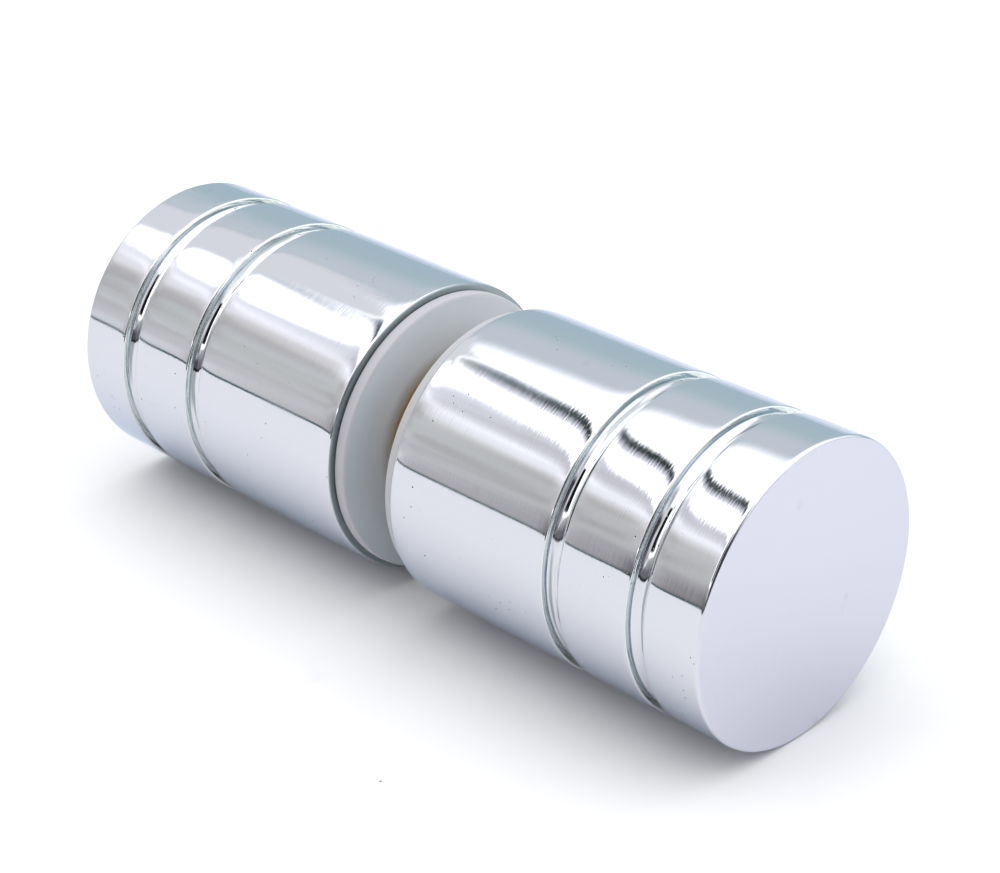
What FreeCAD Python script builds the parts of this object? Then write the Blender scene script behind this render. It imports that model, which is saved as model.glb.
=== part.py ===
import FreeCAD, Part
import math
import os

# Back-to-back handle for a glass shower door. Two turned knobs stand on opposite
# faces of the glass, and one set screw draws them together through a hole in it.
#
# Millimetres. The origin is on the knobs' common axis, halfway through the glass.
# +X runs along that axis to the outer face of the outer knob, and +Z is up.

# Glass that the handle is made for
glass_thickness = 6.0
glass_hole_diameter = 12.0

# Knob, a solid of revolution measured from its outer face towards the glass
knob_diameter = 32.0
knob_length = 40.5
front_band = 6.7
middle_band = 8.6
groove_width = 2.1
groove_wall_depth = 0.85
groove_floor_angle = 116.0
groove_floor_radius = 1.6
groove_lip_radius = 0.2
groove_root_radius = 0.12
face_edge_radius = 0.4
back_edge_radius = 0.3

# Washer between a knob and the glass
washer_diameter = 30.4
washer_hole_diameter = 16.6
washer_thickness = 1.5
washer_edge_radius = 0.3

# Boss on the knob's back that centres the washer and stays short of the glass
boss_clearance = 0.2
boss_setback = 0.5
boss_edge_radius = 0.15

# Set screw that joins the knobs, with a hexagon key socket in one end
screw_diameter = 8.0
screw_length = 30.0
screw_chamfer = 1.0
key_across_flats = 4.0
key_depth = 5.0
socket_cone_angle = 120.0

# Tapped blind hole in the back of each knob, modelled without its thread
thread_clearance = 0.05
hole_end_clearance = 1.5
hole_mouth_chamfer = 0.6
drill_point_angle = 118.0

# Sleeve round the screw, which keeps it off the edge of the hole in the glass
sleeve_glass_clearance = 0.1
sleeve_screw_clearance = 0.15
sleeve_end_clearance = 0.1
sleeve_edge_radius = 0.3

# Places along the axis, from the middle of the glass
glass_face = glass_thickness / 2
knob_back = glass_face + washer_thickness
boss_face = glass_face + boss_setback
knob_face = knob_back + knob_length
sleeve_end = boss_face - sleeve_end_clearance
screw_end = screw_length / 2
hole_end = screw_end + hole_end_clearance

# Radii that follow from what each piece fits
knob_radius = knob_diameter / 2
washer_radius = washer_diameter / 2
washer_hole_radius = washer_hole_diameter / 2
boss_radius = washer_hole_radius - boss_clearance
screw_radius = screw_diameter / 2
hole_radius = screw_radius + thread_clearance
sleeve_radius = glass_hole_diameter / 2 - sleeve_glass_clearance
sleeve_bore_radius = screw_radius + sleeve_screw_clearance

ORIGIN = FreeCAD.Vector(0, 0, 0)
AXIS = FreeCAD.Vector(1, 0, 0)
FULL_TURN = 360


def point(x, radius):
    """A point of a half section, given by its place along the axis and its radius."""
    return FreeCAD.Vector(x, 0, radius)


def rounded_corner(before, corner, after, radius):
    """The arc of the given radius that is tangent to both sides of a corner."""
    back = (before - corner).normalize()
    on = (after - corner).normalize()
    half_angle = back.getAngle(on) / 2
    reach = radius / math.tan(half_angle)
    middle = (back + on).normalize()
    bow = radius / math.sin(half_angle) - radius
    return Part.Arc(corner + back * reach, corner + middle * bow, corner + on * reach)


def half_section(corners):
    """A closed face from corners given as (x, radius, rounding)."""
    points = [point(x, radius) for x, radius, _ in corners]
    arcs = {}
    for n, (_, _, rounding) in enumerate(corners):
        if rounding > 0:
            after = points[(n + 1) % len(points)]
            arcs[n] = rounded_corner(points[n - 1], points[n], after, rounding)
    edges = []
    for n in range(len(corners)):
        after = (n + 1) % len(corners)
        start = arcs[n].EndPoint if n in arcs else points[n]
        end = arcs[after].StartPoint if after in arcs else points[after]
        if n in arcs:
            edges.append(arcs[n].toShape())
        edges.append(Part.LineSegment(start, end).toShape())
    return Part.Face(Part.Wire(edges))


def turned(corners):
    """The solid that a half section sweeps about the axis."""
    return half_section(corners).revolve(ORIGIN, AXIS, FULL_TURN)


def groove(outer_wall):
    """The corners of one groove, which has straight walls and a dished floor.

    They run from its wall nearer the knob's face to the other one. The floor's two
    slopes meet at the middle corner, and its rounding takes up most of them.
    """
    inner_wall = outer_wall - groove_width
    middle = (outer_wall + inner_wall) / 2
    wall_foot = knob_radius - groove_wall_depth
    slope_angle = math.radians(groove_floor_angle / 2)
    floor_corner = wall_foot - groove_width / 2 / math.tan(slope_angle)
    return [
        (outer_wall, knob_radius, groove_lip_radius),
        (outer_wall, wall_foot, groove_root_radius),
        (middle, floor_corner, groove_floor_radius),
        (inner_wall, wall_foot, groove_root_radius),
        (inner_wall, knob_radius, groove_lip_radius),
    ]


def knob():
    """The outer knob: a grooved barrel, with a boss and a tapped blind hole in its back."""
    first_groove = knob_face - front_band
    second_groove = first_groove - groove_width - middle_band
    drill_point = hole_end + hole_radius / math.tan(math.radians(drill_point_angle / 2))
    return turned(
        [
            (drill_point, 0, 0),
            (knob_face, 0, 0),
            (knob_face, knob_radius, face_edge_radius),
            *groove(first_groove),
            *groove(second_groove),
            (knob_back, knob_radius, back_edge_radius),
            (knob_back, boss_radius, 0),
            (boss_face, boss_radius, boss_edge_radius),
            (boss_face, hole_radius + hole_mouth_chamfer, 0),
            (boss_face + hole_mouth_chamfer, hole_radius, 0),
            (hole_end, hole_radius, 0),
        ]
    )


def washer():
    """The flat ring between the outer knob and the glass."""
    return turned(
        [
            (glass_face, washer_hole_radius, washer_edge_radius),
            (knob_back, washer_hole_radius, washer_edge_radius),
            (knob_back, washer_radius, washer_edge_radius),
            (glass_face, washer_radius, washer_edge_radius),
        ]
    )


def glass_sleeve():
    """The tube round the screw, as long as the space between the two bosses."""
    return turned(
        [
            (-sleeve_end, sleeve_bore_radius, 0),
            (sleeve_end, sleeve_bore_radius, 0),
            (sleeve_end, sleeve_radius, sleeve_edge_radius),
            (-sleeve_end, sleeve_radius, sleeve_edge_radius),
        ]
    )


def key_socket():
    """The hexagonal socket in the screw's outer end, with the cone its drill leaves."""
    corner_radius = key_across_flats / math.sqrt(3)
    floor = screw_end - key_depth
    corners = []
    for n in range(6):
        turn = n * math.pi / 3
        y = corner_radius * math.cos(turn)
        z = corner_radius * math.sin(turn)
        corners.append(FreeCAD.Vector(floor, y, z))
    hexagon = Part.Face(Part.makePolygon(corners + corners[:1]))
    prism = hexagon.extrude(AXIS * key_depth)
    drill_radius = key_across_flats / 2
    cone_height = drill_radius / math.tan(math.radians(socket_cone_angle / 2))
    cone = Part.makeCone(drill_radius, 0, cone_height, FreeCAD.Vector(floor, 0, 0), -AXIS)
    return prism.fuse(cone)


def joining_screw():
    """The set screw, chamfered at both ends."""
    end_radius = screw_radius - screw_chamfer
    shoulder = screw_end - screw_chamfer
    shank = turned(
        [
            (-screw_end, 0, 0),
            (screw_end, 0, 0),
            (screw_end, end_radius, 0),
            (shoulder, screw_radius, 0),
            (-shoulder, screw_radius, 0),
            (-screw_end, end_radius, 0),
        ]
    )
    return shank.cut(key_socket())


def mirrored(shape):
    """The same piece on the other side of the glass."""
    return shape.mirror(ORIGIN, AXIS)


outer_knob = knob()
outer_washer = washer()

nodes = {
    "outer_knob": outer_knob,
    "inner_knob": mirrored(outer_knob),
    "outer_washer": outer_washer,
    "inner_washer": mirrored(outer_washer),
    "glass_sleeve": glass_sleeve(),
    "joining_screw": joining_screw(),
}

os.makedirs("parts", exist_ok=True)
for name, shape in nodes.items():
    solid = shape.Solids[0]
    if not solid.isValid():
        raise ValueError(name + " is not a valid solid")
    solid.exportStep("parts/" + name + ".step")
    print(name, "volume", round(solid.Volume, 1), "mm3")
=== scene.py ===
# %% [markdown]
# # A back-to-back shower door handle
#
# Two turned brass knobs, plated with chrome, stand on opposite sides of a glass door.
# One set screw draws them together, a nylon sleeve keeps the screw off the glass, and a
# milky plastic washer lies between each knob and the glass. Polished chrome has almost
# no colour of its own: what we see in it is the studio. So this lesson spends its care
# on three things: the exact curve of the turned metal, the lights that it mirrors, and
# the fine marks that polishing leaves.

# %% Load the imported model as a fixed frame
import math

import bpy
import numpy as np
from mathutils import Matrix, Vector


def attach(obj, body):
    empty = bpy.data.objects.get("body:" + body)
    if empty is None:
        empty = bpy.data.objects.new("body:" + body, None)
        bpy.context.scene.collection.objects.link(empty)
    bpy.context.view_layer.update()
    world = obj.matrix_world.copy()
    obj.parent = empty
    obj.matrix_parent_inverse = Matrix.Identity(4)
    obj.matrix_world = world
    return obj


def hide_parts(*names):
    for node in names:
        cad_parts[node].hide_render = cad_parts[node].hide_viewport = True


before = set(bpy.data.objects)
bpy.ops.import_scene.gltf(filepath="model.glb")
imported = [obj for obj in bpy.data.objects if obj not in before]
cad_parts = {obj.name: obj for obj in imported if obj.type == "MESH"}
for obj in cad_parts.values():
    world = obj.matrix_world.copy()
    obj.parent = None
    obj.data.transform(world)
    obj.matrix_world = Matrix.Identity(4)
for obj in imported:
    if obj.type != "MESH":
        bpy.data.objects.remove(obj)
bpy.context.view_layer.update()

print("nodes:", sorted(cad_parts))

# %% [markdown]
# ## Sizes from the frame
#
# Blender works in metres. The drawing of a turned part is in millimetres, so profiles
# are drawn in millimetres here and scaled once, when they become a mesh. Where a piece
# starts and ends along the axis, and how wide it is, is measured on its CAD node. That
# way the dressed piece always sits where the solid does.

# %% Measure a node along the knobs' axis
MM = 0.001


def reach(node):
    """Lowest and highest place along X, and the largest distance from the X axis, in mm."""
    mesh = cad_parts[node].data
    flat = np.empty(3 * len(mesh.vertices), np.float32)
    mesh.vertices.foreach_get("co", flat)
    x, y, z = flat.reshape(-1, 3).T.astype(float)
    return x.min() / MM, x.max() / MM, np.hypot(y, z).max() / MM


boss_face, knob_face, knob_radius = reach("outer_knob")
glass_face, knob_back, washer_radius = reach("outer_washer")
_, sleeve_end, sleeve_radius = reach("glass_sleeve")
_, screw_end, screw_radius = reach("joining_screw")
print(f"knob from {knob_back:.2f} to {knob_face:.2f} mm, radius {knob_radius:.2f}")
print(f"washer from {glass_face:.2f} to {knob_back:.2f} mm, radius {washer_radius:.2f}")

# %% [markdown]
# ## The camera
#
# The camera stands to the front right of the handle and looks down at it. Its place and
# lens were worked out from the ellipses that the knob's round edges make in the
# photograph. A long lens (about 90 mm) close to the object gives the gentle
# perspective that makes the far knob a little smaller. Depth of field stays off.

# %% Place the camera
camera_heading = math.radians(-44.541)
camera_dip = math.radians(27.409)
camera_place = Vector((0.166244, -0.164476, 0.121785))

ahead = Vector((math.sin(camera_heading), math.cos(camera_heading), 0.0))
to_right = Vector((math.cos(camera_heading), -math.sin(camera_heading), 0.0))
line_of_sight = ahead * math.cos(camera_dip) - Vector((0, 0, math.sin(camera_dip)))

lens = bpy.data.cameras.new("photo_camera")
lens.lens = 90.35
lens.sensor_width = 36.0
lens.clip_start = 0.01
lens.clip_end = 20.0
camera = bpy.data.objects.new("photo_camera", lens)
camera.location = camera_place
camera.rotation_euler = line_of_sight.to_track_quat("-Z", "Y").to_euler()
bpy.context.scene.collection.objects.link(camera)
bpy.context.scene.camera = camera
print("camera looks along", [round(v, 3) for v in line_of_sight])

# %% [markdown]
# ## A profile: straight runs joined by arcs
#
# A lathe part is one drawn line carried round an axis. The line could be a handful of
# points, but a mirror shows every flat and every kink, so here each corner is a true
# arc that is tangent to both its sides, and each point carries its exact direction.
#
# For a corner with unit vectors b (back along the run before it) and f (forward along
# the run after it), and half the angle between them h, the arc of radius r touches both
# sides at r / tan(h) from the corner, and its centre lies r / sin(h) along b + f.
#
# The points of a straight run are crowded towards its ends, because that is where the
# buffing, further on, bends it.

# %% Sample a rounded profile
RUN_DENSITY = 8
FEWEST_ON_RUN, MOST_ON_RUN = 2, 36
FEWEST_ON_ARC, ARC_DENSITY = 6, 10


def along_run(start, end):
    """Points strictly between two places: (1 - cos(pi k / (n + 1))) / 2 of the way, k = 1 to n.

    The number n grows with the square root of the run's length in mm.
    """
    length = np.linalg.norm(end - start)
    count = int(np.clip(round(RUN_DENSITY * math.sqrt(length)), FEWEST_ON_RUN, MOST_ON_RUN))
    share = (1 - np.cos(math.pi * np.arange(1, count + 1) / (count + 1))) / 2
    return start + (end - start) * share[:, None]


def rounded_corner(before, corner, after, rounding):
    """Points of the arc at a corner and the unit steps along it.

    They lie round the centre at sin((1 - t) a) / sin(a) of the way to the arc's start plus
    sin(t a) / sin(a) of the way to its end, where a is the arc's angle and t runs from 0
    to 1. Their number grows with the square root of the arc's length in mm.
    """
    b, f = before - corner, after - corner
    b, f = b / np.linalg.norm(b), f / np.linalg.norm(f)
    half = math.acos(np.clip(b @ f, -1, 1)) / 2
    touch = rounding / math.tan(half)
    centre = corner + (b + f) / np.linalg.norm(b + f) * rounding / math.sin(half)
    start, end = corner + b * touch - centre, corner + f * touch - centre
    sweep = math.pi - 2 * half
    arc_points = round(FEWEST_ON_ARC + ARC_DENSITY * math.sqrt(rounding * sweep))
    t = np.linspace(0, 1, arc_points)[:, None]
    fan = (np.sin((1 - t) * sweep) * start + np.sin(t * sweep) * end) / math.sin(sweep)
    turn = np.sign(-b[0] * f[1] + b[1] * f[0])
    steps = turn * np.stack([-fan[:, 1], fan[:, 0]], 1) / rounding
    return centre + fan, steps


def profile(corners, closed=False):
    """Points and outward normals, in mm, along corners given as (x, radius, rounding).

    The outward side is on the left when the line is walked from the face to the back:
    normal = (step in radius, -step in x), for a step of length one.
    """
    places = np.array([(x, r) for x, r, _ in corners], float)
    count = len(places)
    turned = range(count) if closed else range(1, count - 1)
    arcs = []
    for n in turned:
        before, after = places[n - 1], places[(n + 1) % count]
        arcs.append(rounded_corner(before, places[n], after, corners[n][2]))
    last = arcs[-1][0][-1] if closed else places[0]
    points, steps = [], []
    for arc, arc_steps in arcs:
        run = along_run(last, arc[0])
        points += [run, arc]
        steps += [np.broadcast_to(arc_steps[0], run.shape), arc_steps]
        last = arc[-1]
    if not closed:
        run = np.vstack([along_run(last, places[-1]), places[-1]])
        points = [places[:1], *points, run]
        steps = [steps[0][:1], *steps, np.broadcast_to(steps[-1][-1], run.shape)]
    steps = np.concatenate(steps)
    return np.concatenate(points), np.stack([steps[:, 1], -steps[:, 0]], 1)


# %% [markdown]
# ## From a profile to a skin
#
# To carry the line round the axis, every profile point becomes a ring: x stays, and the
# radius turns into y = radius * cos(angle), z = radius * sin(angle). The whole grid is
# worked out in one go with numpy. Where the line meets the axis, the ring shrinks to a
# single vertex, so the pole is closed with triangles. The exact normals go in as custom
# normals: Blender then shades the true curve, not the average of the small faces.

# %% Carry a profile round the axis
def ring_angles(segments):
    """Evenly spaced angles round the axis: 2 pi k / segments, k = 0 to segments - 1."""
    return np.arange(segments) * (2 * math.pi / segments)


def spun(points, normals, segments, side=1):
    """Places in metres and normals, each (rows, segments, 3), from a profile in mm.

    A point (x, r) goes to (side * x, r * cos(angle), r * sin(angle)), and a normal in the
    same way. side=-1 gives the mirror image on the other side of the glass.
    """
    angle = ring_angles(segments)
    x, r = points[:, :1] * MM * side, points[:, 1:] * MM
    nx, nr = normals[:, :1] * side, normals[:, 1:]
    ones = np.ones_like(angle)
    grid = np.stack([x * ones, r * np.cos(angle), r * np.sin(angle)], 2)
    facing = np.stack([nx * ones, nr * np.cos(angle), nr * np.sin(angle)], 2)
    return grid, facing


# %% Make a closed mesh from rings
def skin(name, grid, facing=None, side=1, loop=False, row_material=None):
    """A closed mesh object from a grid of rings.

    Quads join each ring to the next. loop=True joins the last ring to the first, as in
    a tube; otherwise the first and last rings are single points on the axis. A mirrored
    piece (side=-1) gets its faces wound the other way, so that they still face out.
    """
    rows, segments = grid.shape[:2]
    following = np.roll(np.arange(segments), -1)
    if loop:
        vertices = grid.reshape(-1, 3)
        ring = np.arange(rows * segments).reshape(rows, segments)
        ring = np.vstack([ring, ring[:1]])
        caps = np.empty((0, 3), int)
    else:
        vertices = np.vstack([grid[0, :1], grid[1:-1].reshape(-1, 3), grid[-1, :1]])
        ring = 1 + np.arange((rows - 2) * segments).reshape(rows - 2, segments)
        start, end = np.zeros(segments, int), np.full(segments, len(vertices) - 1)
        first_cap = np.stack([start, ring[0], ring[0][following]], 1)
        last_cap = np.stack([end, ring[-1][following], ring[-1]], 1)
        caps = np.vstack([first_cap, last_cap])
    around = ring[:, following]
    quads = np.stack([ring[:-1], ring[1:], around[1:], around[:-1]], 2).reshape(-1, 4)
    if side < 0:
        quads, caps = quads[:, ::-1], caps[:, ::-1]
    mesh = bpy.data.meshes.new(name)
    mesh.from_pydata(vertices.tolist(), [], quads.tolist() + caps.tolist())
    mesh.polygons.foreach_set("use_smooth", np.ones(len(mesh.polygons), bool))
    if row_material is not None:
        bands = np.repeat(row_material[1:-2], segments)
        ends = np.repeat([row_material[0], row_material[-1]], segments)
        mesh.polygons.foreach_set("material_index", np.concatenate([bands, ends]).astype(np.int32))
    if facing is not None:
        inner = facing if loop else facing[1:-1]
        normals = inner.reshape(-1, 3)
        if not loop:
            normals = np.vstack([facing[0, :1], normals, facing[-1, :1]])
        mesh.normals_split_custom_set_from_vertices(normals.tolist())
    piece = bpy.data.objects.new(name, mesh)
    bpy.context.scene.collection.objects.link(piece)
    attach(piece, "root")
    print(f"{name}: {len(vertices)} vertices, {2 * len(quads) + len(caps)} triangles")
    return piece


# %% [markdown]
# ## The knob's outline
#
# Each knob is a solid brass bar, turned on a lathe. The tool leaves a plain barrel with
# two grooves near the outer face, and a small boss on the back that centres the washer.
# A tapped hole in the boss takes the screw. A groove has straight walls, but its floor
# is dished: the horizon shows in it as a small U. The floor is drawn as two slopes that
# meet in the middle, with a rounding that takes up most of them.

# %% Draw the knob
front_band, middle_band = 6.7, 8.6
groove_width, wall_depth = 2.1, 0.85
floor_angle, floor_round = math.radians(116), 1.6
first_groove = knob_face - front_band
second_groove = first_groove - groove_width - middle_band
face_round, back_round = 0.4, 0.3
lip_round, root_round = 0.2, 0.12
boss_radius, boss_round = 8.1, 0.15
thread_clearance, hole_end_clearance = 0.05, 1.5
hole_radius = screw_radius + thread_clearance
hole_end = screw_end + hole_end_clearance
mouth_chamfer = 0.6
crisp = 0.05
drill_angle = math.radians(118)
drill_point = hole_end + hole_radius / math.tan(drill_angle / 2)


def groove(outer_wall):
    """Corners of one groove, from the wall nearer the face to the other."""
    inner_wall = outer_wall - groove_width
    wall_foot = knob_radius - wall_depth
    floor_corner = wall_foot - groove_width / 2 / math.tan(floor_angle / 2)
    return [
        (outer_wall, knob_radius, lip_round),
        (outer_wall, wall_foot, root_round),
        ((outer_wall + inner_wall) / 2, floor_corner, floor_round),
        (inner_wall, wall_foot, root_round),
        (inner_wall, knob_radius, lip_round),
    ]


knob_corners = [
    (knob_face, 0, 0),
    (knob_face, knob_radius, face_round),
    *groove(first_groove),
    *groove(second_groove),
    (knob_back, knob_radius, back_round),
    (knob_back, boss_radius, crisp),
    (boss_face, boss_radius, boss_round),
    (boss_face, hole_radius + mouth_chamfer, crisp),
    (boss_face + mouth_chamfer, hole_radius, crisp),
    (hole_end, hole_radius, crisp),
    (drill_point, 0, 0),
]
outline, outline_facing = profile(knob_corners)
print("points along the knob's outline:", len(outline))

# %% [markdown]
# ## What the buffing wheel does
#
# Before plating, a cloth wheel polishes the brass. The cloth folds over every edge, so
# each band is worn down a little where it ends in a groove. The loss is only a few
# hundredths of a millimetre, but it is what bends the mirrored lights into an S at the
# ends of every band, so it is worth modelling. It is a drop that dies away from the edge:
#
#     drop = slope at the edge * reach * exp(-distance / reach)
#
# The points are lowered by it, and the normals are tilted by its slope,
# slope at the edge * exp(-distance / reach). The walls of the grooves are spared: the
# wear fades out between 0.1 and 0.5 mm below the barrel's surface.

# %% Wear the bands at their ends
worn_edges = [  # place, direction into the band, slope at the edge, reach in mm
    (knob_face - face_round, -1, 0.030, 0.20),
    (first_groove + lip_round, 1, 0.055, 0.65),
    (first_groove - groove_width - lip_round, -1, 0.050, 0.80),
    (second_groove + lip_round, 1, 0.038, 0.80),
    (second_groove - groove_width - lip_round, -1, 0.052, 0.85),
    (knob_back + back_round, 1, 0.090, 0.80),
]
# How far past an edge the wear reaches, and at what depths it starts to fade and ends
past_edge = 1.01 * face_round
fade_start, fade_end = 0.1, 0.5


def buffed(points, normals):
    """The outline after polishing: each radius less the sum of the drops from all edges.

    The normals are tilted by the sum of the slopes, and made one long again.
    """
    x, r = points.T
    drop, slope = np.zeros_like(x), np.zeros_like(x)
    for place, into, steepness, spread in worn_edges:
        away = (x - place) * into
        near = away > -past_edge
        fade = steepness * np.exp(-np.clip(away, 0, None) / spread) * near
        drop += fade * spread
        slope += fade * into * (away > 0)
    on_band = np.clip((r - knob_radius + fade_end) / (fade_end - fade_start), 0, 1)
    tilt = np.stack([slope * on_band, np.zeros_like(x)], 1)
    tilted = normals - tilt * normals[:, 1:]
    tilted /= np.linalg.norm(tilted, axis=1)[:, None]
    return np.stack([x, r - drop * on_band], 1), tilted


fresh_radii = outline[:, 1].copy()
outline, outline_facing = buffed(outline, outline_facing)
print("largest drop in mm:", round((fresh_radii - outline[:, 1]).max(), 3))

# %% [markdown]
# ## The two knobs
#
# The plating bath reaches the barrel, the face and the back, but hardly the boss and the
# tapped hole, where the brass stays bare. So the knob is one skin with two materials,
# and each ring of faces takes the second one where the outline is inside the boss.

# %% Turn both knobs
BARREL_SEGMENTS = 224
CHROME, BRASS = 0, 1
slack = 0.01
inside_boss = outline[:, 1] < boss_radius + slack
behind_grooves = outline[:, 0] < second_groove - groove_width
ring_finish = np.where(inside_boss & behind_grooves, BRASS, CHROME)


def turned_knob(name, solid, side):
    """One knob as a closed skin that stands for the CAD node."""
    grid, facing = spun(outline, outline_facing, BARREL_SEGMENTS, side)
    piece = skin(name, grid, facing, side, row_material=ring_finish)
    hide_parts(solid)
    return piece


outer_knob = turned_knob("outer_knob_turned", "outer_knob", 1)
inner_knob = turned_knob("inner_knob_turned", "inner_knob", -1)

# %% [markdown]
# ## The washers
#
# Between each knob and the glass lies a flat ring of soft, milky plastic, so that metal
# never touches glass. It could be a Solidify on a flat ring, but a lathe outline with
# rounded corners gives the soft rim directly. The screw squeezes the ring, so its rim
# bulges a little: the radius grows by bulge * (1 - s * s), where s runs from -1 to 1
# through the thickness.

# %% Make the washers
boss_clearance = 0.2
washer_hole = boss_radius + boss_clearance
washer_round = 0.3
washer_corners = [
    (knob_back, washer_radius, washer_round),
    (glass_face, washer_radius, washer_round),
    (glass_face, washer_hole, washer_round),
    (knob_back, washer_hole, washer_round),
]
WASHER_SEGMENTS = 256


def squeezed(points, bulge=0.06):
    """The washer's outline with its outer rim pressed out by bulge * (1 - s * s), in mm."""
    x, r = points.T
    s = (2 * x - knob_back - glass_face) / (knob_back - glass_face)
    on_rim = r > washer_radius - washer_round
    return np.stack([x, r + bulge * (1 - s * s) * on_rim], 1)


def ring_piece(name, solid, outline_points, outline_normals, segments, side=1):
    """A closed ring, such as a washer or a sleeve, that stands for its CAD node."""
    grid, facing = spun(outline_points, outline_normals, segments, side)
    piece = skin(name, grid, facing, side, loop=True)
    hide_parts(solid)
    return piece


washer_points, washer_normals = profile(washer_corners, closed=True)
washer_points = squeezed(washer_points)
washers = []
for solid, side in (("outer_washer", 1), ("inner_washer", -1)):
    washer = ring_piece(solid + "_ring", solid, washer_points, washer_normals,
                        WASHER_SEGMENTS, side)
    washers.append(washer)

# %% [markdown]
# ## The sleeve
#
# A short nylon tube sits in the hole in the glass and keeps the steel screw off its edge.
# It is almost hidden between the knobs, but it is there on the real handle, so it gets
# the same care: a bore, rounded outer ends, and a skin of its own.

# %% Make the sleeve
screw_clearance = 0.15
sleeve_bore = screw_radius + screw_clearance
sleeve_round = 0.3
SLEEVE_SEGMENTS = 160
sleeve_corners = [
    (sleeve_end, sleeve_radius, sleeve_round),
    (-sleeve_end, sleeve_radius, sleeve_round),
    (-sleeve_end, sleeve_bore, crisp),
    (sleeve_end, sleeve_bore, crisp),
]
sleeve_points, sleeve_normals = profile(sleeve_corners, closed=True)
sleeve = ring_piece("glass_sleeve_tube", "glass_sleeve", sleeve_points,
                    sleeve_normals, SLEEVE_SEGMENTS)

# %% [markdown]
# ## The set screw
#
# The screw is an M8 set screw, 30 mm long, with a hexagon socket for a 4 mm key in the
# end that faces the user. Blender could wind its thread with the Screw modifier, but a
# grid of radii is simpler and always closed: every ring keeps its x, and its radius
# changes round the turn. In a thread of pitch P the crest comes round once per pitch, so
# the place within the pitch is
#
#     s = P * ((x / P - angle / (2 pi)) mod 1 - 1/2), from -P/2 to P/2
#
# and a flank that leans 30 degrees falls away from the crest's edge by
# (|s| - crest / 2) / tan(30 degrees), down to the root, which lies 0.6134 P below the
# crest in metric threads. The chamfer at each end simply cuts this radius short.

# %% Shape the thread and the key socket
pitch = 1.25
crest_width = pitch / 8
thread_depth = 0.6134 * pitch
flank_lean = math.radians(30)
screw_chamfer = 1.0
end_radius = screw_radius - screw_chamfer
key_flats, key_depth = 4.0, 5.0


def threaded_radius(x, angle):
    """Radius of the screw's surface in mm, for a column of x and a row of angles.

    It is the thread's radius or the chamfer's, end radius + distance from the screw's end,
    whichever is less.
    """
    s = pitch * ((x / pitch - angle / (2 * math.pi)) % 1 - 0.5)
    fall = (np.abs(s) - crest_width / 2) / math.tan(flank_lean)
    thread = screw_radius - np.clip(fall, 0, thread_depth)
    return np.minimum(thread, end_radius + screw_end - np.abs(x))


def hexagon_radius(angle):
    """Distance from the axis to a hexagon with a corner at angle 0.

    It is half the width across flats, divided by the cosine of the angle off the flat.
    """
    off_flat = (angle % (math.pi / 3)) - math.pi / 6
    return key_flats / 2 / np.cos(off_flat)


# %% Draw the key socket
SCREW_SEGMENTS = 72
angle = ring_angles(SCREW_SEGMENTS)
whole_turn = np.ones_like(angle)
socket_floor = screw_end - key_depth
drill_share = 0.96
drill_radius = drill_share * key_flats / 2
socket_drill_angle = math.radians(120)
cone_tip = socket_floor - drill_radius / math.tan(socket_drill_angle / 2)
socket_rings = [
    (cone_tip, 0 * whole_turn),
    (socket_floor, drill_radius * whole_turn),
    (socket_floor, hexagon_radius(angle)),
    (screw_end, hexagon_radius(angle)),
]
print(f"socket from {screw_end:.2f} down to {cone_tip:.2f} mm")

# %% Make the screw
RINGS_PER_PITCH = 20
SHARP_EDGE = math.radians(25)
thread_x = np.linspace(screw_end, -screw_end, int(2 * screw_end / pitch * RINGS_PER_PITCH) + 1)
thread_r = threaded_radius(thread_x[:, None], angle)
screw_x = np.concatenate([[x for x, _ in socket_rings], thread_x, [-screw_end]])
screw_r = np.vstack([*[r for _, r in socket_rings], thread_r, 0 * whole_turn])
screw_y, screw_z = screw_r * np.cos(angle), screw_r * np.sin(angle)
screw_grid = MM * np.stack([screw_x[:, None] * whole_turn, screw_y, screw_z], 2)
screw = skin("joining_screw_threaded", screw_grid)
screw.data.set_sharp_from_angle(angle=SHARP_EDGE)
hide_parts("joining_screw")
print("turns of thread:", round(2 * screw_end / pitch, 2))

# %% [markdown]
# ## Short ways to wire a node tree
#
# A material and the studio are both node trees. Writing every node and link by hand
# hides the idea, so a small class does it: each method adds a node or a few and gives
# back their output, and an input may be a number, a colour or another node's output.

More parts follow.
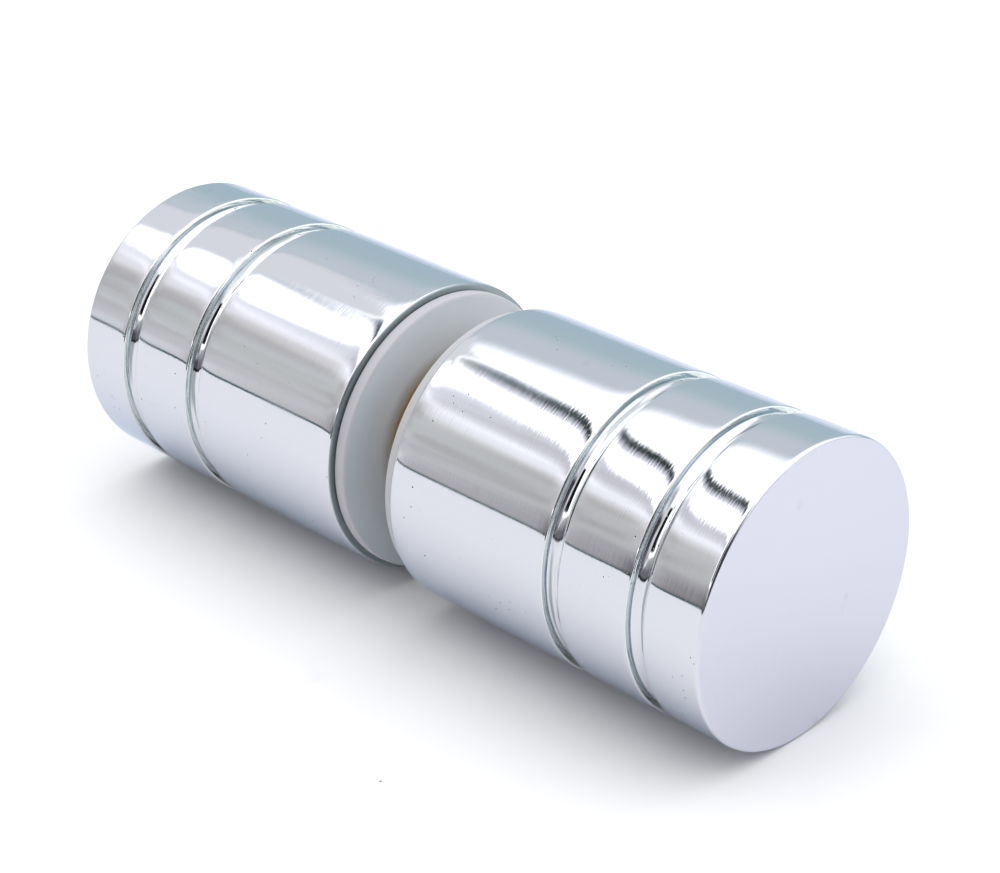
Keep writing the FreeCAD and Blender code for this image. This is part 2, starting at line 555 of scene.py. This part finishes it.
# %% Helpers for node trees
class Wires:
    """Adds nodes to a tree and joins them."""

    def __init__(self, tree):
        self.tree = tree

    def add(self, kind, **settings):
        """A new node with the given settings."""
        made = self.tree.nodes.new(kind)
        for key, value in settings.items():
            setattr(made, key, value)
        return made

    def feed(self, socket, value):
        """Sets a socket to a number or colour, or links an output to it."""
        if isinstance(value, bpy.types.NodeSocket):
            self.tree.links.new(value, socket)
        elif socket.type == "RGBA":
            socket.default_value = (*value, 1.0)
        else:
            socket.default_value = value

    def calc(self, operation, *values):
        """One Math node."""
        made = self.add("ShaderNodeMath", operation=operation)
        for socket, value in zip(made.inputs, values):
            self.feed(socket, value)
        return made.outputs[0]

    def vector(self, operation, *values):
        """One Vector Math node. Dot product and length give a number."""
        made = self.add("ShaderNodeVectorMath", operation=operation)
        for socket, value in zip(made.inputs, values):
            self.feed(socket, value)
        return made.outputs["Value" if operation in ("DOT_PRODUCT", "LENGTH") else "Vector"]

    def step_up(self, value, low, high, to_low=0.0, to_high=1.0):
        """to_low below low, to_high above high, and a smooth step between."""
        made = self.add("ShaderNodeMapRange", interpolation_type="SMOOTHSTEP")
        numbers = (value, low, high, to_low, to_high)
        for socket, number in zip(made.inputs, numbers):
            self.feed(socket, number)
        return made.outputs["Result"]

    def both(self, first, *others):
        """1 where all the given shares are 1: their product."""
        product = first
        for share in others:
            product = self.calc("MULTIPLY", product, share)
        return product

    def band(self, value, low, high, edge):
        """1 between low and high, with soft edges of the given width."""
        rise = self.step_up(value, low - edge / 2, low + edge / 2)
        fall = self.step_up(value, high - edge / 2, high + edge / 2, 1.0, 0.0)
        return self.both(rise, fall)

    def paint(self, under, over, share):
        """The colour over, laid on the colour under where share is 1.

        A Mix node has sockets for every type of value. Its colours go in at 6 and 7.
        """
        made = self.add("ShaderNodeMix", data_type="RGBA")
        self.feed(made.inputs["Factor"], share)
        self.feed(made.inputs[6], under)
        self.feed(made.inputs[7], over)
        return made.outputs[2]

    def ramp(self, value, low, high, stops):
        """A colour that changes along a value: stops are (value, colour) pairs."""
        made = self.add("ShaderNodeValToRGB")
        above_low = self.calc("SUBTRACT", value, low)
        self.feed(made.inputs[0], self.calc("DIVIDE", above_low, high - low))
        elements = made.color_ramp.elements
        while len(elements) < len(stops):
            elements.new(0.5)
        for element, (place, colour) in zip(elements, stops):
            element.position = (place - low) / (high - low)
            element.color = (*colour, 1.0)
        return made.outputs["Color"]

    def noise(self, place, detail=2.0):
        """Soft random values about 0.5, in a place that is already scaled."""
        made = self.add("ShaderNodeTexNoise")
        self.feed(made.inputs["Vector"], place)
        made.inputs["Scale"].default_value = 1.0
        made.inputs["Detail"].default_value = detail
        return made.outputs[0]

    def specks(self, place, size, share):
        """1 in small round specks, which fade out from 0.6 of their size.

        Space is cut into cells of about one unit, each with a random point and colour. A
        point makes a speck if its colour's red is in the given share.
        """
        made = self.add("ShaderNodeTexVoronoi")
        self.feed(made.inputs["Vector"], place)
        made.inputs["Scale"].default_value = 1.0
        near = self.step_up(made.outputs["Distance"], 0.6 * size, size, 1.0, 0.0)
        red = self.vector("DOT_PRODUCT", made.outputs["Color"], (1.0, 0.0, 0.0))
        lucky = self.calc("GREATER_THAN", red, 1 - share)
        return self.both(near, lucky)

    def relief(self, height):
        """A bump whose height is in metres."""
        made = self.add("ShaderNodeBump")
        made.inputs["Strength"].default_value = 1.0
        made.inputs["Distance"].default_value = 1.0
        self.feed(made.inputs["Height"], height)
        return made.outputs["Normal"]


def new_material(name, **settings):
    """A new material with its wires, its main shader, and the place of each point in metres."""
    material = bpy.data.materials.new(name)
    material.use_nodes = True
    wires = Wires(material.node_tree)
    shader = material.node_tree.nodes["Principled BSDF"]
    for socket, value in settings.items():
        wires.feed(shader.inputs[socket.replace("_", " ")], value)
    place = wires.add("ShaderNodeTexCoord").outputs["Object"]
    return material, wires, shader, place


def finish(wires, shader, colour, roughness, height):
    """Joins a finish to its shader: the colour, the roughness and the relief in metres."""
    wires.feed(shader.inputs["Base Color"], colour)
    wires.feed(shader.inputs["Roughness"], roughness)
    wires.feed(shader.inputs["Normal"], wires.relief(height))


def scaled(wires, place, scale):
    """A place or a direction, times the fineness of the pattern that reads it."""
    return wires.vector("MULTIPLY", place, (scale, scale, scale))


# %% [markdown]
# ## Polished chrome
#
# Chrome plate is a mirror with a cold tint. Head on it gives back about 65% of the light,
# a little more in blue, and at a glancing angle almost all of it, which the specular
# tint holds back slightly, as the real metal does.
#
# The polishing wheel reaches the barrel and the face, but not the grooves or the back,
# so the finish depends on the place. An image could say where each finish goes, but
# two lengths say it exactly: the distance along the axis from the middle of the glass,
# and the depth below the barrel's surface. Each part of the knob is a number that is 1
# there, 0 elsewhere, and changes softly between.

# %% Tell the parts of a knob apart
def from_axis(wires, place):
    """Distance from the knobs' axis in metres: the length of (0, y, z)."""
    return wires.vector("LENGTH", wires.vector("MULTIPLY", place, (0.0, 1.0, 1.0)))


chrome, wires, shader, place = new_material("polished_chrome", Metallic=1.0,
                                            Specular_Tint=(0.75, 0.82, 0.92))
along = wires.calc("ABSOLUTE", wires.vector("DOT_PRODUCT", place, (1.0, 0.0, 0.0)))
depth = wires.calc("SUBTRACT", knob_radius * MM, from_axis(wires, place))
BARREL = ((knob_back + 2) * MM, (knob_face - 2) * MM, 1 * MM)  # from, to, softness
GROOVE_DEPTHS = (0.16 * MM, 1.9 * MM, 0.16 * MM)
WALL_DEPTHS = (0.12 * MM, 0.78 * MM, 0.10 * MM)
on_barrel = wires.band(along, *BARREL)
in_groove = wires.both(on_barrel, wires.band(depth, *GROOVE_DEPTHS))
on_wall = wires.both(on_barrel, wires.band(depth, *WALL_DEPTHS))
in_floor = wires.both(in_groove, wires.calc("SUBTRACT", 1.0, on_wall))
on_face = wires.step_up(along, (knob_face - 0.15) * MM, (knob_face - 0.02) * MM)
on_back = wires.step_up(along, (knob_back + 0.08) * MM, (knob_back + 0.16) * MM, 1.0, 0.0)
print("nodes that tell the parts apart:", len(wires.tree.nodes))

# %% [markdown]
# What makes chrome look real is what the making leaves behind:
#
# - turning marks: shallow streaks that run round the axis, far finer across than along,
#   with slopes of about a degree. They give a dark reflection its furry edge. On the
#   face they are circles, because the pattern's first coordinate is x + radius, the
#   distance along the outline
# - tool lines on the grooves' floors, where no wheel reaches
# - slow waves from the hand-held wheel, and faint smudges
# - pits where the plating missed, a few alone and others in swarms, and faint grey blots

# %% Marks of the lathe, the wheel and the plating bath
def lathe_streaks(wires, place, across, around):
    """Streaks that follow the lathe: noise at (across * (x + radius), around * (y, z))."""
    first, rest = wires.add("ShaderNodeSeparateXYZ"), wires.add("ShaderNodeCombineXYZ")
    wires.feed(first.inputs[0], place)
    track = wires.calc("ADD", first.outputs["X"], from_axis(wires, place))
    wires.feed(rest.inputs["X"], wires.calc("MULTIPLY", track, across))
    wires.feed(rest.inputs["Y"], wires.calc("MULTIPLY", first.outputs["Y"], around))
    wires.feed(rest.inputs["Z"], wires.calc("MULTIPLY", first.outputs["Z"], around))
    return wires.noise(rest.outputs[0])


TURNING_MARKS, TOOL_LINES = (6200.0, 300.0), (3600.0, 90.0)  # features per metre: across, around
WAVES, SMUDGES, SWARMS, BLOTS = 220.0, 110.0, 170.0, 300.0
LONE_PITS, SWARM_PITS = 650.0, 1900.0
marks = lathe_streaks(wires, place, *TURNING_MARKS)
tool_lines = lathe_streaks(wires, place, *TOOL_LINES)
dark_lines = wires.both(wires.step_up(tool_lines, 0.54, 0.64, 0.0, 0.7), in_floor)
wave = wires.noise(scaled(wires, place, WAVES), 1.0)
smudge = wires.noise(scaled(wires, place, SMUDGES), 3.0)
swarm = wires.step_up(wires.noise(scaled(wires, place, SWARMS), 1.0), 0.60, 0.68)
swarm = wires.both(swarm, wires.calc("SUBTRACT", 1.0, on_face))
swarm_pits = wires.both(wires.specks(scaled(wires, place, SWARM_PITS), 0.16, 0.4), swarm)
pits = wires.calc("MAXIMUM", wires.specks(scaled(wires, place, LONE_PITS), 0.07, 0.12), swarm_pits)
blots = wires.step_up(wires.noise(scaled(wires, place, BLOTS), 4.0), 0.68, 0.78, 0.0, 0.25)
print("nodes with the marks:", len(wires.tree.nodes))

# %% [markdown]
# The marks come together as one relief, whose height is in metres, and one colour. The
# plate is paler and greener on the grooves' walls and violet on the face. The back is
# dull, and painted dark as shade where the knob meets its washer.

# %% Colour and relief of the chrome
MARK_HEIGHT, WAVE_HEIGHT, TOOL_LINE_HEIGHT, PIT_DEPTH = 3.2e-6, 4.0e-6, 2.4e-5, 2.0e-5
PLATE, WALL_PLATE = (0.645, 0.655, 0.702), (0.88, 0.91, 0.885)
FACE_PLATE, BACK_PLATE_AND_SHADE = (0.640, 0.636, 0.715), (0.30, 0.35, 0.36)
LINE_COLOUR, BLOT_COLOUR, PIT_COLOUR = (0.16, 0.20, 0.20), (0.42, 0.42, 0.44), (0.05, 0.05, 0.06)
plate = wires.paint(PLATE, WALL_PLATE, on_wall)
plate = wires.paint(plate, FACE_PLATE, on_face)
# Painted shade: the back is darkened where it meets the washer.
plate = wires.paint(plate, BACK_PLATE_AND_SHADE, on_back)
plate = wires.paint(plate, LINE_COLOUR, dark_lines)
plate = wires.paint(plate, BLOT_COLOUR, blots)
plate = wires.paint(plate, PIT_COLOUR, pits)
clean = wires.step_up(smudge, 0.35, 0.75, 0.045, 0.085)
dull = wires.calc("MAXIMUM", wires.calc("MULTIPLY", on_back, 0.3), wires.calc("MULTIPLY", pits, 0.5))
floor_lines = wires.both(tool_lines, in_floor)
height = wires.calc("MULTIPLY_ADD", marks, MARK_HEIGHT, wires.calc("MULTIPLY", wave, WAVE_HEIGHT))
height = wires.calc("MULTIPLY_ADD", floor_lines, TOOL_LINE_HEIGHT, height)
height = wires.calc("MULTIPLY_ADD", pits, -PIT_DEPTH, height)
finish(wires, shader, plate, wires.calc("ADD", clean, dull), height)
print("nodes in the chrome:", len(wires.tree.nodes))

# %% [markdown]
# ## Bare brass
#
# Inside the boss and the hole the brass shows, dull and a little brown, with the coarse
# rings of a cut that nobody polished.

# %% Brass
brass, wires, shader, place = new_material("bare_brass", Metallic=1.0)
CLEAN_BRASS, BROWN_BRASS = (0.50, 0.34, 0.17), (0.33, 0.22, 0.12)
rings = lathe_streaks(wires, place, 5000.0, 60.0)
stain = wires.noise(scaled(wires, place, 400.0), 3.0)
brass_colour = wires.paint(CLEAN_BRASS, BROWN_BRASS, stain)
brass_roughness = wires.step_up(rings, 0.3, 0.7, 0.28, 0.45)
finish(wires, shader, brass_colour, brass_roughness, wires.calc("MULTIPLY", rings, 8.0e-6))
for piece in (outer_knob, inner_knob):
    piece.data.materials.append(chrome)
    piece.data.materials.append(brass)
print("materials on a knob:", [slot.name for slot in outer_knob.data.materials])

# %% [markdown]
# ## Milky plastic
#
# The washer lets some light through, so what lies behind it tints it: grey plate under
# most of it. Close to the hole the ring is painted dark brown: painted shade deep between
# the knobs, warmed by painted light off the bare brass. That is painted by the distance
# from the axis. The light that sinks into the top of the ring makes it a little paler
# there, which is painted by height. The rim is painted darker than the faces, whose paler
# grey stands in for light scattered inside the plastic. Faint clouds and a fine skin from
# the mould break it up.

# %% Washer plastic
milky, wires, shader, place = new_material("milky_plastic", IOR=1.48)
INNER_GREY, OUTER_GREY, CLOUD_GREY = (0.54, 0.555, 0.58), (0.535, 0.595, 0.635), (0.66, 0.69, 0.72)
TOP_GREY, RIM_GREY, HOLE_SHADE_BRASS_GLOW = (0.78, 0.79, 0.81), (0.463, 0.463, 0.49), (0.33, 0.28, 0.21)
GREY_CHANGE, TOP_CHANGE = (10.5 * MM, 14.5 * MM), (4 * MM, 16 * MM)
RIM_CHANGE = ((washer_radius - 0.3) * MM, (washer_radius - 0.1) * MM)
HOLE_SHADE_CHANGE = ((washer_hole + 0.1) * MM, (washer_hole + 2.1) * MM)
cloud = wires.noise(scaled(wires, place, 180.0), 3.0)
grain = wires.noise(scaled(wires, place, 5000.0), 2.0)
radius = from_axis(wires, place)
height_up = wires.vector("DOT_PRODUCT", place, (0.0, 0.0, 1.0))
body = wires.paint(INNER_GREY, OUTER_GREY, wires.step_up(radius, *GREY_CHANGE))
body = wires.paint(body, CLOUD_GREY, wires.step_up(cloud, 0.3, 0.9, 0.0, 0.5))
body = wires.paint(body, TOP_GREY, wires.step_up(height_up, *TOP_CHANGE, 0.0, 0.45))
# Painted light: the rim is darker than the faces, whose paler grey stands in for light scattered
# inside the plastic.
body = wires.paint(body, RIM_GREY, wires.step_up(radius, *RIM_CHANGE))
# Painted shade near the hole, tinted brown as light off the brass.
body = wires.paint(body, HOLE_SHADE_BRASS_GLOW, wires.step_up(radius, *HOLE_SHADE_CHANGE, 1.0, 0.0))
washer_roughness = wires.step_up(grain, 0.3, 0.7, 0.36, 0.46)
finish(wires, shader, body, washer_roughness, wires.calc("MULTIPLY", grain, 6.0e-6))
for piece in washers:
    piece.data.materials.append(milky)
print("nodes in the plastic:", len(wires.tree.nodes))

# %% [markdown]
# ## Nylon
#
# The sleeve is cut from natural nylon tube: warm white, waxy, with lines drawn along it
# by the die that it was pressed through. A little light scatters under its surface.

# %% Sleeve nylon
nylon, wires, shader, place = new_material("natural_nylon", IOR=1.53, Subsurface_Weight=0.15,
                                           Subsurface_Radius=(0.001, 0.001, 0.0008))
DARK_NYLON, PALE_NYLON = (0.66, 0.64, 0.58), (0.76, 0.74, 0.69)
drawn = wires.noise(wires.vector("MULTIPLY", place, (120.0, 3500.0, 3500.0)), 2.0)
nylon_colour = wires.paint(DARK_NYLON, PALE_NYLON, drawn)
nylon_roughness = wires.step_up(drawn, 0.3, 0.7, 0.34, 0.5)
finish(wires, shader, nylon_colour, nylon_roughness, wires.calc("MULTIPLY", drawn, 4.0e-6))
sleeve.data.materials.append(nylon)
print("nodes in the nylon:", len(wires.tree.nodes))

# %% [markdown]
# ## Zinc-plated steel
#
# The screw's plating is thin and crystalline, so its roughness is patchy, and its colour
# is darker towards the roots of the thread.

# %% Screw steel
zinc, wires, shader, place = new_material("zinc_plated_steel", Metallic=1.0)
PALE_ZINC, DARK_ZINC, THREAD_ROOT_DARK = (0.60, 0.62, 0.66), (0.50, 0.52, 0.55), (0.20, 0.19, 0.18)
ROOT_CHANGE = ((screw_radius - 0.8) * MM, (screw_radius - 0.2) * MM)
crystals = wires.noise(scaled(wires, place, 2500.0), 3.0)
root = wires.step_up(from_axis(wires, place), *ROOT_CHANGE, 0.6, 0.0)
# Darker towards the roots of the thread.
zinc_colour = wires.paint(wires.paint(PALE_ZINC, DARK_ZINC, crystals), THREAD_ROOT_DARK, root)
zinc_roughness = wires.step_up(crystals, 0.3, 0.7, 0.24, 0.42)
finish(wires, shader, zinc_colour, zinc_roughness, wires.calc("MULTIPLY", crystals, 5.0e-6))
screw.data.materials.append(zinc)
print("nodes in the zinc:", len(wires.tree.nodes))

# %% [markdown]
# ## The floor
#
# The handle lies on a plain pale sheet. The sheet is a disc of rings, a stage and not
# part of the object. Light falls off over it away from the lamps, so the paper darkens
# and turns bluer on the far side, and the low parts of the chrome pick that up.

# %% Lay the floor
FLOOR_RADIUS = 0.7
HUB_RADIUS = 0.001


def floor_disc(radius, rings=24, segments=96):
    """A flat disc under the handle: places (r cos(angle), r sin(angle), -knob radius).

    r is evenly spaced from the hub's radius to the disc's, and one polygon fills the hub.
    """
    angle = ring_angles(segments)
    r = np.linspace(HUB_RADIUS, radius, rings)[:, None]
    level = np.full((rings, segments), -knob_radius * MM)
    grid = np.stack([r * np.cos(angle), r * np.sin(angle), level], 2)
    ring = np.arange(rings * segments).reshape(rings, segments)
    around = np.roll(ring, -1, axis=1)
    quads = np.stack([ring[:-1], ring[1:], around[1:], around[:-1]], 2).reshape(-1, 4)
    mesh = bpy.data.meshes.new("studio_floor")
    mesh.from_pydata(grid.reshape(-1, 3).tolist(), [], [*quads.tolist(), ring[0].tolist()])
    piece = bpy.data.objects.new("studio_floor", mesh)
    bpy.context.scene.collection.objects.link(piece)
    return piece


floor = floor_disc(FLOOR_RADIUS)
print("floor radius in m:", FLOOR_RADIUS)

# %% Paper
paper, wires, shader, place = new_material("pale_paper")
NEAR_PAPER, FAR_PAPER = (0.82, 0.82, 0.83), (0.50, 0.56, 0.58)
SCUFF, DUST = (0.60, 0.60, 0.61), (0.18, 0.17, 0.17)
PAPER_ROUGHNESS = 0.55
away = wires.vector("DOT_PRODUCT", place, tuple(ahead))
fibre = wires.noise(scaled(wires, place, 900.0), 3.0)
dust = wires.specks(scaled(wires, place, 140.0), 0.025, 0.10)
scuffs = wires.step_up(wires.noise(scaled(wires, place, 90.0), 4.0), 0.68, 0.80, 0.0, 0.3)
sheet = wires.paint(NEAR_PAPER, FAR_PAPER, wires.step_up(away, 0.16, 0.60))
sheet = wires.paint(wires.paint(sheet, SCUFF, scuffs), DUST, dust)
finish(wires, shader, sheet, PAPER_ROUGHNESS, wires.calc("MULTIPLY", fibre, 4.0e-6))
floor.data.materials.append(paper)
print("nodes in the paper:", len(wires.tree.nodes))

# %% [markdown]
# ## The studio that the chrome mirrors
#
# A mirror shows only its surroundings, so the lighting is painted as a world: for each
# direction, how bright the room is. Lamp objects would light the handle too, but a
# painted world also gives the walls, the slot and the soft edges that chrome shows.
#
# The lamps are flat panels overhead. A direction meets a plane one metre overhead at
# (q, p), its sideways parts divided by its upward part, and in that plane a panel is
# simply a range of q and of p. From the barrel's reflections, going to the left (growing
# q), there are: a broad white panel, a dark slot, a second narrow panel, pale grey
# ceiling, a bright strip, and the dimmer wall.

# %% Directions in the overhead plane
world = bpy.data.worlds.new("studio")
bpy.context.scene.world = world
world.use_nodes = True
world.node_tree.nodes.clear()
wires = Wires(world.node_tree)

RACK_TURN = math.radians(16.5)
SMALLEST_DIVISOR = 0.02
to_left = -to_right
across_rack = to_left * math.cos(RACK_TURN) + ahead * math.sin(RACK_TURN)
along_rack = ahead * math.cos(RACK_TURN) - to_left * math.sin(RACK_TURN)
look = wires.add("ShaderNodeTexCoord").outputs["Generated"]
up = wires.vector("DOT_PRODUCT", look, (0.0, 0.0, 1.0))
leftward = wires.vector("DOT_PRODUCT", look, tuple(to_left))
onward = wires.vector("DOT_PRODUCT", look, tuple(ahead))
steep = wires.calc("MAXIMUM", up, SMALLEST_DIVISOR)
q = wires.calc("DIVIDE", wires.vector("DOT_PRODUCT", look, tuple(across_rack)), steep)
p = wires.calc("DIVIDE", wires.vector("DOT_PRODUCT", look, tuple(along_rack)), steep)
print("across the lamps:", [round(v, 3) for v in across_rack])

# %% [markdown]
# The room comes first, and what hangs in it is painted over it. A range is written as
# low, high and the width of its soft edge. The wall on the left is darkest towards the
# camera and paler farther on, which gives the barrel's grey bands their gradient.

# %% Walls and ceiling
WALL_AHEAD, CEILING, HIGH_LEFT = (0.574, 0.70, 0.709), (0.73, 0.79, 0.82), (0.645, 0.650, 0.630)
LOW_BEHIND, HIGH_BEHIND = (0.34, 0.34, 0.36), (0.95, 0.95, 0.97)
left_greys = [
    (-0.40, (0.17, 0.17, 0.18)), (-0.21, (0.39, 0.38, 0.39)), (-0.15, (0.55, 0.55, 0.55)),
    (-0.08, (0.69, 0.69, 0.69)), (0.02, (0.80, 0.80, 0.80)),
]
low_left = wires.ramp(onward, -0.5, 0.1, left_greys)
wall_left = wires.paint(low_left, HIGH_LEFT, wires.step_up(up, 0.06, 0.30))
room = wires.paint(WALL_AHEAD, wall_left, wires.step_up(leftward, 0.50, 0.92))
room = wires.paint(room, CEILING, wires.step_up(up, 0.36, 0.60))
wall_behind = wires.paint(LOW_BEHIND, HIGH_BEHIND, wires.step_up(up, 0.08, 0.50))
room = wires.paint(room, wall_behind, wires.step_up(onward, -0.55, -0.30, 1.0, 0.0))
print("greys along the left wall:", len(left_greys))

# %% [markdown]
# Left of the lamps the ceiling is pale grey, with the bright strip in it at q = 1.4. The
# whole room is a little uneven on the left, as painted walls are.

# %% The ceiling beside the lamps
side_greys = [
    (0.90, (0.89, 0.90, 0.95)), (1.22, (0.90, 0.91, 0.95)), (1.31, (1.05, 1.05, 1.09)),
    (1.40, (1.30, 1.30, 1.33)), (1.50, (1.16, 1.15, 1.17)), (1.58, (1.04, 1.04, 1.05)),
    (1.68, (0.94, 0.94, 0.93)), (1.82, (0.75, 0.75, 0.73)), (2.05, (0.66, 0.66, 0.64)),
]
side_ceiling = wires.ramp(q, 0.90, 2.10, side_greys)
beside_lamps = wires.both(
    wires.step_up(q, 0.90, 1.0),
    wires.step_up(q, 2.0, 2.1, 1.0, 0.0),
    wires.step_up(p, 1.5, 2.4, 1.0, 0.0),
)
studio = wires.paint(room, side_ceiling, beside_lamps)
DARK_PATCH, PALE_PATCH, NO_CHANGE = (0.86, 0.84, 0.84), (1.12, 1.13, 1.13), (1.0, 1.0, 1.0)
mottle = wires.noise(scaled(wires, look, 7.0), 3.0)
patches = wires.paint(DARK_PATCH, PALE_PATCH, wires.step_up(mottle, 0.30, 0.70))
patches = wires.paint(NO_CHANGE, patches, wires.step_up(leftward, 0.20, 0.60))
studio = wires.vector("MULTIPLY", studio, patches)
print("greys beside the lamps:", len(side_greys))

# %% [markdown]
# Along the side towards the camera stands a low dark bench. On the right a card, paler
# than the wall, lights the walls of the grooves, and a fill panel hangs higher up.

# %% Bench, fill panel and card
BENCH, FILL, CARD = (0.15, 0.145, 0.16), (2.0, 2.0, 2.02), (1.35, 1.37, 1.38)
near_camera = wires.step_up(onward, -0.31, -0.17, 1.0, 0.0)
bench = wires.both(wires.band(up, -0.03, 0.12, 0.08), near_camera)
studio = wires.paint(studio, BENCH, wires.calc("MULTIPLY", bench, 0.8))
fill_panel = wires.both(wires.band(q, -2.4, -1.0, 0.30), wires.band(p, -1.6, 0.9, 0.30))
studio = wires.paint(studio, FILL, fill_panel)
on_right = wires.step_up(leftward, -0.85, -0.65, 1.0, 0.0)
studio = wires.paint(studio, CARD, wires.both(wires.band(up, 0.10, 0.55, 0.10), on_right))
print("nodes so far:", len(wires.tree.nodes))

# %% [markdown]
# One big panel is painted first, and the slot is then cut into it. It glows most where
# 0.8 q - 0.6 p is large. Its sides aren't square to the rack: on the near and far ones
# 0.4 q + p is constant, on the left and right ones q + 0.35 p. A wing widens it on the
# left, and the far end of the narrow part beyond the slot is pale grey.

# %% Panels
DIM_LAMP, BRIGHT_LAMP, GREY_END = (1.45, 1.45, 1.46), (2.70, 2.70, 2.73), (0.95, 0.95, 0.97)
glow = wires.calc("SUBTRACT", wires.calc("MULTIPLY", q, 0.8), wires.calc("MULTIPLY", p, 0.6))
lamp = wires.paint(DIM_LAMP, BRIGHT_LAMP, wires.step_up(glow, -0.9, 1.0))
far_edge = wires.calc("MULTIPLY_ADD", q, 0.40, wires.calc("SUBTRACT", p, 0.232))
left_edge = wires.calc("MULTIPLY_ADD", p, 0.35, q)
panel = wires.both(wires.band(far_edge, -0.92, 0.73, 0.34), wires.band(left_edge, -1.2, 0.97, 0.07))
studio = wires.paint(studio, lamp, panel)
wing = wires.both(wires.band(q, 0.90, 1.24, 0.10), wires.band(p, 0.08, 0.47, 0.14))
studio = wires.paint(studio, lamp, wing)
grey_end = wires.both(wires.band(q, 0.67, 1.3, 0.06), wires.band(p, 0.48, 1.0, 0.06))
studio = wires.paint(studio, GREY_END, grey_end)
print("nodes with the panels:", len(wires.tree.nodes))

# %% [markdown]
# The slot is nearly black at its near end and fades to white at the far one. Its edges
# are straight here. It is the turning marks that fray them in the barrel's reflection.

# %% The slot between the panels
PENUMBRA = (0.80, 0.80, 0.86)
slot_colours = [
    (0.10, (0.020, 0.032, 0.031)), (0.22, (0.035, 0.050, 0.049)), (0.33, (0.10, 0.13, 0.13)),
    (0.38, (0.24, 0.30, 0.32)), (0.42, (0.52, 0.57, 0.60)), (0.46, (0.95, 0.95, 0.97)),
]
slot_colour = wires.ramp(p, 0.0, 0.5, slot_colours)
slot_ends = wires.both(wires.step_up(p, -0.8, -0.7), wires.step_up(p, 0.44, 0.48, 1.0, 0.0))
studio = wires.paint(studio, PENUMBRA, wires.both(wires.band(q, 0.69, 0.795, 0.05), slot_ends))
studio = wires.paint(studio, slot_colour, wires.both(wires.band(q, 0.665, 0.740, 0.030), slot_ends))
print("nodes with the slot:", len(wires.tree.nodes))

# %% [markdown]
# Behind the camera, to the left, stands a white screen, and next to it the studio's
# dark end shows through a narrow gap. The grooves' floors mirror both, as a black dash
# with a white rim. How far a direction lies beside the gap is its sideways part divided
# by its part towards the gap. The camera is a dark shadow on the wall behind it.

# %% The dark gap, the white screen and the camera
GAP_TURN = math.radians(136)
SCREEN, DARK_END, SHADOW = (2.1, 2.1, 2.12), (0.01, 0.012, 0.014), (0.06, 0.06, 0.065)
gap_way = to_left * math.sin(GAP_TURN) + ahead * math.cos(GAP_TURN)
gap_side = ahead * math.sin(GAP_TURN) - to_left * math.cos(GAP_TURN)
towards_gap = wires.vector("DOT_PRODUCT", look, tuple(gap_way))
towards_gap = wires.calc("MAXIMUM", towards_gap, SMALLEST_DIVISOR)
beside_gap = wires.calc("DIVIDE", wires.vector("DOT_PRODUCT", look, tuple(gap_side)), towards_gap)
screen = wires.both(wires.band(beside_gap, -0.22, 0.50, 0.10), wires.band(up, 0.27, 0.84, 0.05))
studio = wires.paint(studio, SCREEN, screen)
gap = wires.both(wires.band(beside_gap, -0.24, 0.26, 0.10), wires.band(up, 0.33, 0.79, 0.03))
studio = wires.paint(studio, DARK_END, gap)
onlooker = wires.both(
    wires.band(leftward, -0.60, 0.28, 0.14),
    wires.step_up(up, 0.58, 0.68, 1.0, 0.0),
    wires.step_up(onward, -0.60, -0.40, 1.0, 0.0),
)
studio = wires.paint(studio, SHADOW, onlooker)
print("way to the gap:", [round(v, 3) for v in gap_way])

# %% [markdown]
# The floor is a disc, so past its rim a pale table end goes on below the horizon. Two
# thin dark lines close the room there: the table's edge on the left, and the foot of
# the bench.

# %% Below the horizon
TABLE_END, EDGE_LINE, BENCH_FOOT = (0.90, 0.92, 0.95), (0.06, 0.12, 0.13), (0.015, 0.02, 0.02)
seen = wires.paint(TABLE_END, studio, wires.step_up(up, -0.014, -0.006))
edge_line = wires.both(wires.band(up, -0.050, -0.010, 0.006), wires.step_up(leftward, 0.55, 0.80))
seen = wires.paint(seen, EDGE_LINE, edge_line)
bench_foot = wires.both(wires.band(up, -0.050, 0.010, 0.008), near_camera)
seen = wires.paint(seen, BENCH_FOOT, bench_foot)
print("nodes down to the table:", len(wires.tree.nodes))

# %% [markdown]
# The camera itself should see a plain pale backdrop, not this painted room, so camera
# rays get an even colour and every other ray gets the studio.

# %% Join the studio to the world
STUDIO_STRENGTH = 1.08
BACKDROP = (0.93, 0.93, 0.94)
lights, plain = wires.add("ShaderNodeBackground"), wires.add("ShaderNodeBackground")
wires.feed(lights.inputs["Color"], seen)
wires.feed(lights.inputs["Strength"], STUDIO_STRENGTH)
wires.feed(plain.inputs["Color"], BACKDROP)
choose = wires.add("ShaderNodeMixShader")
wires.feed(choose.inputs[0], wires.add("ShaderNodeLightPath").outputs["Is Camera Ray"])
wires.feed(choose.inputs[1], lights.outputs[0])
wires.feed(choose.inputs[2], plain.outputs[0])
wires.feed(wires.add("ShaderNodeOutputWorld").inputs["Surface"], choose.outputs[0])

bpy.context.scene.view_settings.view_transform = "Standard"
bpy.context.scene.view_settings.look = "None"
print("nodes in the studio:", len(wires.tree.nodes))
